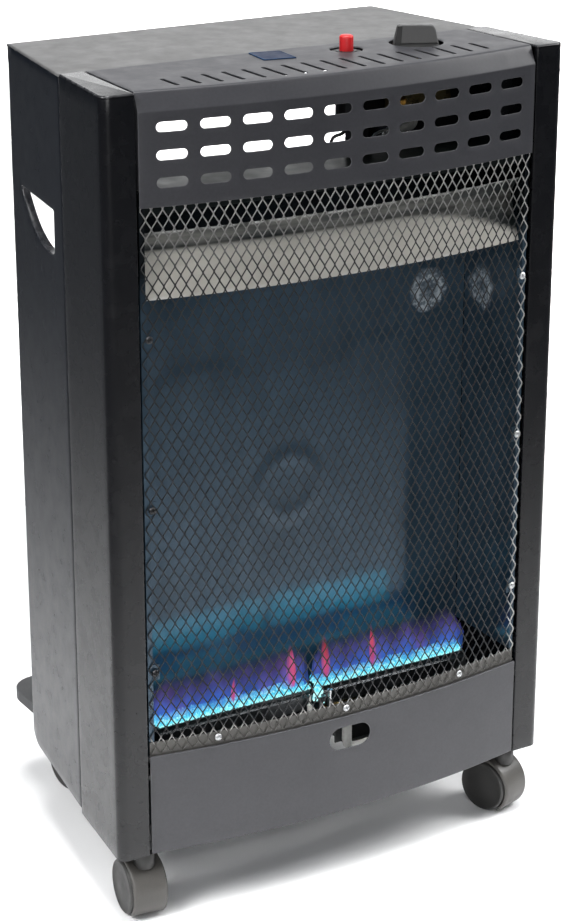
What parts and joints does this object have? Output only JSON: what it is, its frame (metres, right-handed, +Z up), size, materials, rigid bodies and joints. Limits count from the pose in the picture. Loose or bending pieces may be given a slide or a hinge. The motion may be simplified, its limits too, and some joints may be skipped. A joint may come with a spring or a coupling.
{
  "type": "portable gas cabinet heater",
  "caption": "Bow-fronted portable gas cabinet heater on twin-wheel castors: slotted hood, expanded-metal guard, blue-flame burner, open-backed bottle compartment.",
  "frame": {"origin": "on the floor, under the middle of the overall box", "axes": "+Z up, -Y to the front (the guard), +X to the right as seen from the front"},
  "size_m": [0.4414, 0.3491, 0.7416],
  "materials": {
    "dark_paint": "satin powder coat",
    "grey_paint": "satin powder coat",
    "guard_steel": "bare expanded steel",
    "chamber_steel": "dark semi-gloss enamel",
    "deflector_steel": "bare aluminised sheet",
    "black_steel": "matt black",
    "burner_steel": "bare steel",
    "zinc": "bright zinc plate",
    "brass": "plain brass",
    "ceramic": "glazed ceramic",
    "black_plastic": "matt",
    "red_plastic": "gloss",
    "knob_plastic": "satin",
    "castor_plastic": "satin",
    "wheel_plastic": "satin"
  },
  "bodies": {
    "cabinet": {"corner_post_left": "dark_paint", "corner_post_right": "dark_paint", "side_panel_left": "grey_paint", "side_panel_right": "grey_paint", "top_cover": "grey_paint", "front_hood": "dark_paint", "lower_front_panel": "grey_paint", "guard_mesh": "guard_steel", "chamber_side_left": "chamber_steel", "chamber_side_right": "chamber_steel", "chamber_back": "chamber_steel", "chamber_roof": "deflector_steel", "heat_deflector": "deflector_steel", "chamber_floor": "black_steel", "rear_heat_shield": "grey_paint", "base_tray": "grey_paint", "burner_left": "burner_steel", "burner_right": "burner_steel", "injector_manifold": "brass", "manifold_bracket": "black_steel", "pilot_burner": "burner_steel", "thermocouple": "zinc", "spark_electrode": "ceramic", "valve_bracket": "black_steel", "gas_valve": "brass", "hose_nozzle": "brass", "igniter_housing": "black_plastic", "ignition_lead": "black_plastic", "gas_feed_pipe": "zinc", "pilot_pipe": "zinc", "guard_screw_bottom_1": "zinc", "guard_screw_left_1": "zinc", "guard_screw_right_1": "zinc", "guard_screw_bottom_2": "zinc", "guard_screw_left_2": "zinc", "guard_screw_right_2": "zinc", "guard_screw_bottom_3": "zinc", "guard_screw_left_3": "zinc", "guard_screw_right_3": "zinc"},
    "collar": {"valve_collar": "zinc"},
    "knob": {"control_knob": "knob_plastic", "valve_spindle": "brass"},
    "button": {"igniter_button": "red_plastic"},
    "castor_front_left": {"castor_front_left_hood": "castor_plastic", "castor_front_left_axle": "zinc"},
    "castor_front_left_wheel_left": {"castor_front_left_wheel_left": "wheel_plastic"},
    "castor_front_left_wheel_right": {"castor_front_left_wheel_right": "wheel_plastic"},
    "castor_front_right": {"castor_front_right_hood": "castor_plastic", "castor_front_right_axle": "zinc"},
    "castor_front_right_wheel_left": {"castor_front_right_wheel_left": "wheel_plastic"},
    "castor_front_right_wheel_right": {"castor_front_right_wheel_right": "wheel_plastic"},
    "castor_rear_left": {"castor_rear_left_hood": "castor_plastic", "castor_rear_left_axle": "zinc"},
    "castor_rear_left_wheel_left": {"castor_rear_left_wheel_left": "wheel_plastic"},
    "castor_rear_left_wheel_right": {"castor_rear_left_wheel_right": "wheel_plastic"},
    "castor_rear_right": {"castor_rear_right_hood": "castor_plastic", "castor_rear_right_axle": "zinc"},
    "castor_rear_right_wheel_left": {"castor_rear_right_wheel_left": "wheel_plastic"},
    "castor_rear_right_wheel_right": {"castor_rear_right_wheel_right": "wheel_plastic"}
  },
  "joints": [
    {"name": "knob_push", "type": "slide", "parent": "cabinet", "child": "collar", "axis": [0, 0, 1], "range_m": [-0.004, 0], "stiffness_N_per_m": 900},
    {"name": "knob_turn", "type": "hinge", "parent": "collar", "child": "knob", "pos_m": [0.1127, -0.0888, 0.724], "axis": [0, 0, 1], "range_deg": [0, 240]},
    {"name": "igniter_press", "type": "slide", "parent": "cabinet", "child": "button", "axis": [0, 0, 1], "range_m": [-0.007, 0], "stiffness_N_per_m": 500},
    {"name": "front_left_swivel", "type": "hinge", "parent": "cabinet", "child": "castor_front_left", "pos_m": [-0.191, -0.1424, 0.064], "axis": [0, 0, 1], "continuous": true},
    {"name": "front_left_wheel_left_spin", "type": "hinge", "parent": "castor_front_left", "child": "castor_front_left_wheel_left", "pos_m": [-0.18954, -0.13049, 0.0245], "axis": [0.9925, -0.1219, 0], "continuous": true},
    {"name": "front_left_wheel_right_spin", "type": "hinge", "parent": "castor_front_left", "child": "castor_front_left_wheel_right", "pos_m": [-0.18954, -0.13049, 0.0245], "axis": [0.9925, -0.1219, 0], "continuous": true},
    {"name": "front_right_swivel", "type": "hinge", "parent": "cabinet", "child": "castor_front_right", "pos_m": [0.191, -0.1424, 0.064], "axis": [0, 0, 1], "continuous": true},
    {"name": "front_right_wheel_left_spin", "type": "hinge", "parent": "castor_front_right", "child": "castor_front_right_wheel_left", "pos_m": [0.18729, -0.13099, 0.0245], "axis": [0.9511, 0.309, 0], "continuous": true},
    {"name": "front_right_wheel_right_spin", "type": "hinge", "parent": "castor_front_right", "child": "castor_front_right_wheel_right", "pos_m": [0.18729, -0.13099, 0.0245], "axis": [0.9511, 0.309, 0], "continuous": true},
    {"name": "rear_left_swivel", "type": "hinge", "parent": "cabinet", "child": "castor_rear_left", "pos_m": [-0.128, 0.0946, 0.064], "axis": [0, 0, 1], "continuous": true},
    {"name": "rear_left_wheel_left_spin", "type": "hinge", "parent": "castor_rear_left", "child": "castor_rear_left_wheel_left", "pos_m": [-0.13049, 0.10634, 0.0245], "axis": [0.9781, 0.2079, 0], "continuous": true},
    {"name": "rear_left_wheel_right_spin", "type": "hinge", "parent": "castor_rear_left", "child": "castor_rear_left_wheel_right", "pos_m": [-0.13049, 0.10634, 0.0245], "axis": [0.9781, 0.2079, 0], "continuous": true},
    {"name": "rear_right_swivel", "type": "hinge", "parent": "cabinet", "child": "castor_rear_right", "pos_m": [0.128, 0.0946, 0.064], "axis": [0, 0, 1], "continuous": true},
    {"name": "rear_right_wheel_left_spin", "type": "hinge", "parent": "castor_rear_right", "child": "castor_rear_right_wheel_left", "pos_m": [0.1321, 0.10588, 0.0245], "axis": [0.9397, -0.342, 0], "continuous": true},
    {"name": "rear_right_wheel_right_spin", "type": "hinge", "parent": "castor_rear_right", "child": "castor_rear_right_wheel_right", "pos_m": [0.1321, 0.10588, 0.0245], "axis": [0.9397, -0.342, 0], "continuous": true}
  ]
}
